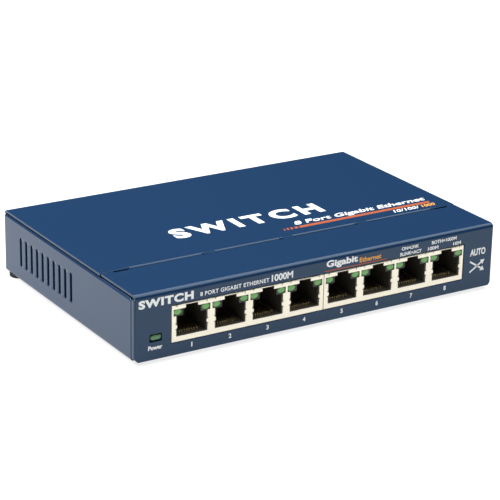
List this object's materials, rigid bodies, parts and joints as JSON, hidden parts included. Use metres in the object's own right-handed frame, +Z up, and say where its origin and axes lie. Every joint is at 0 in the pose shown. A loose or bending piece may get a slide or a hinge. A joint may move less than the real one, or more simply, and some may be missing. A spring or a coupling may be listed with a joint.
{
  "type": "desktop network switch",
  "caption": "Flat bent-steel network switch case with a row of shielded modular jacks in front, corner port lights, side vents, a power inlet behind and rubber feet.",
  "frame": {"origin": "on the surface that the feet rest on, under the middle of the case", "axes": "+X to the right along the port row seen from the front, +Y towards the back panel, +Z up"},
  "size_m": [0.158, 0.1064, 0.027],
  "materials": {
    "blue_paint": "satin fine-textured metallic blue paint",
    "zinc_screws": "zinc plated",
    "foot_rubber": "matte",
    "film": "smooth",
    "board": "solder-resist gloss",
    "green_lens": "clear-tinted lens",
    "black_plastic": "moulded",
    "chip_black": "moulded",
    "pad": "soft matte",
    "heatsink_metal": "black anodised",
    "can_metal": "drawn can",
    "ferrite": "pressed powder",
    "contact_metal": "tin plated",
    "contact_gold": "gold flash",
    "shield_metal": "bright plated sheet"
  },
  "bodies": {
    "root": {"chassis_tray": "blue_paint", "board_screws": "zinc_screws", "standoffs": "zinc_screws", "rubber_feet": "foot_rubber", "insulating_film": "film", "circuit_board": "board", "port_lights": "green_lens", "power_light": "green_lens", "power_light_holder": "black_plastic", "switch_chip": "chip_black", "thermal_pad": "pad", "heatsink": "heatsink_metal", "port_transformers": "chip_black", "crystal": "can_metal", "memory_chip": "chip_black", "capacitors": "can_metal", "power_inductor": "ferrite", "voltage_regulator": "chip_black", "chip_resistors": "chip_black", "power_inlet_body": "black_plastic", "power_inlet_pin": "contact_metal", "left_jack_shield": "shield_metal", "left_jack_housing": "black_plastic", "left_contact_tails": "contact_metal", "right_jack_shield": "shield_metal", "right_jack_housing": "black_plastic", "right_contact_tails": "contact_metal"},
    "cover": {"rear_cover": "blue_paint", "cover_screws": "zinc_screws"},
    "inlet_spring": {"power_inlet_spring": "contact_metal"},
    "port_1_springs": {"port_1_contacts": "contact_gold"},
    "port_2_springs": {"port_2_contacts": "contact_gold"},
    "port_3_springs": {"port_3_contacts": "contact_gold"},
    "port_4_springs": {"port_4_contacts": "contact_gold"},
    "port_5_springs": {"port_5_contacts": "contact_gold"},
    "port_6_springs": {"port_6_contacts": "contact_gold"},
    "port_7_springs": {"port_7_contacts": "contact_gold"},
    "port_8_springs": {"port_8_contacts": "contact_gold"}
  },
  "joints": [
    {"name": "cover_slide", "type": "slide", "parent": "root", "child": "cover", "axis": [0, 1, 0], "range_m": [0, 0.115]},
    {"name": "inlet_spring_flex", "type": "hinge", "parent": "root", "child": "inlet_spring", "pos_m": [-0.052, 0.0421, 0.0091], "axis": [1, 0, 0], "range_deg": [-8, 0], "stiffness_Nm_per_rad": 0.05},
    {"name": "port_1_contacts_flex", "type": "hinge", "parent": "root", "child": "port_1_springs", "pos_m": [-0.05579, -0.0499, 0.0086], "axis": [1, 0, 0], "range_deg": [-8, 0], "stiffness_Nm_per_rad": 0.1},
    {"name": "port_2_contacts_flex", "type": "hinge", "parent": "root", "child": "port_2_springs", "pos_m": [-0.03986, -0.0499, 0.0086], "axis": [1, 0, 0], "range_deg": [-8, 0], "stiffness_Nm_per_rad": 0.1},
    {"name": "port_3_contacts_flex", "type": "hinge", "parent": "root", "child": "port_3_springs", "pos_m": [-0.02394, -0.0499, 0.0086], "axis": [1, 0, 0], "range_deg": [-8, 0], "stiffness_Nm_per_rad": 0.1},
    {"name": "port_4_contacts_flex", "type": "hinge", "parent": "root", "child": "port_4_springs", "pos_m": [-0.008, -0.0499, 0.0086], "axis": [1, 0, 0], "range_deg": [-8, 0], "stiffness_Nm_per_rad": 0.1},
    {"name": "port_5_contacts_flex", "type": "hinge", "parent": "root", "child": "port_5_springs", "pos_m": [0.0087, -0.0499, 0.0086], "axis": [1, 0, 0], "range_deg": [-8, 0], "stiffness_Nm_per_rad": 0.1},
    {"name": "port_6_contacts_flex", "type": "hinge", "parent": "root", "child": "port_6_springs", "pos_m": [0.02464, -0.0499, 0.0086], "axis": [1, 0, 0], "range_deg": [-8, 0], "stiffness_Nm_per_rad": 0.1},
    {"name": "port_7_contacts_flex", "type": "hinge", "parent": "root", "child": "port_7_springs", "pos_m": [0.04056, -0.0499, 0.0086], "axis": [1, 0, 0], "range_deg": [-8, 0], "stiffness_Nm_per_rad": 0.1},
    {"name": "port_8_contacts_flex", "type": "hinge", "parent": "root", "child": "port_8_springs", "pos_m": [0.05649, -0.0499, 0.0086], "axis": [1, 0, 0], "range_deg": [-8, 0], "stiffness_Nm_per_rad": 0.1}
  ]
}
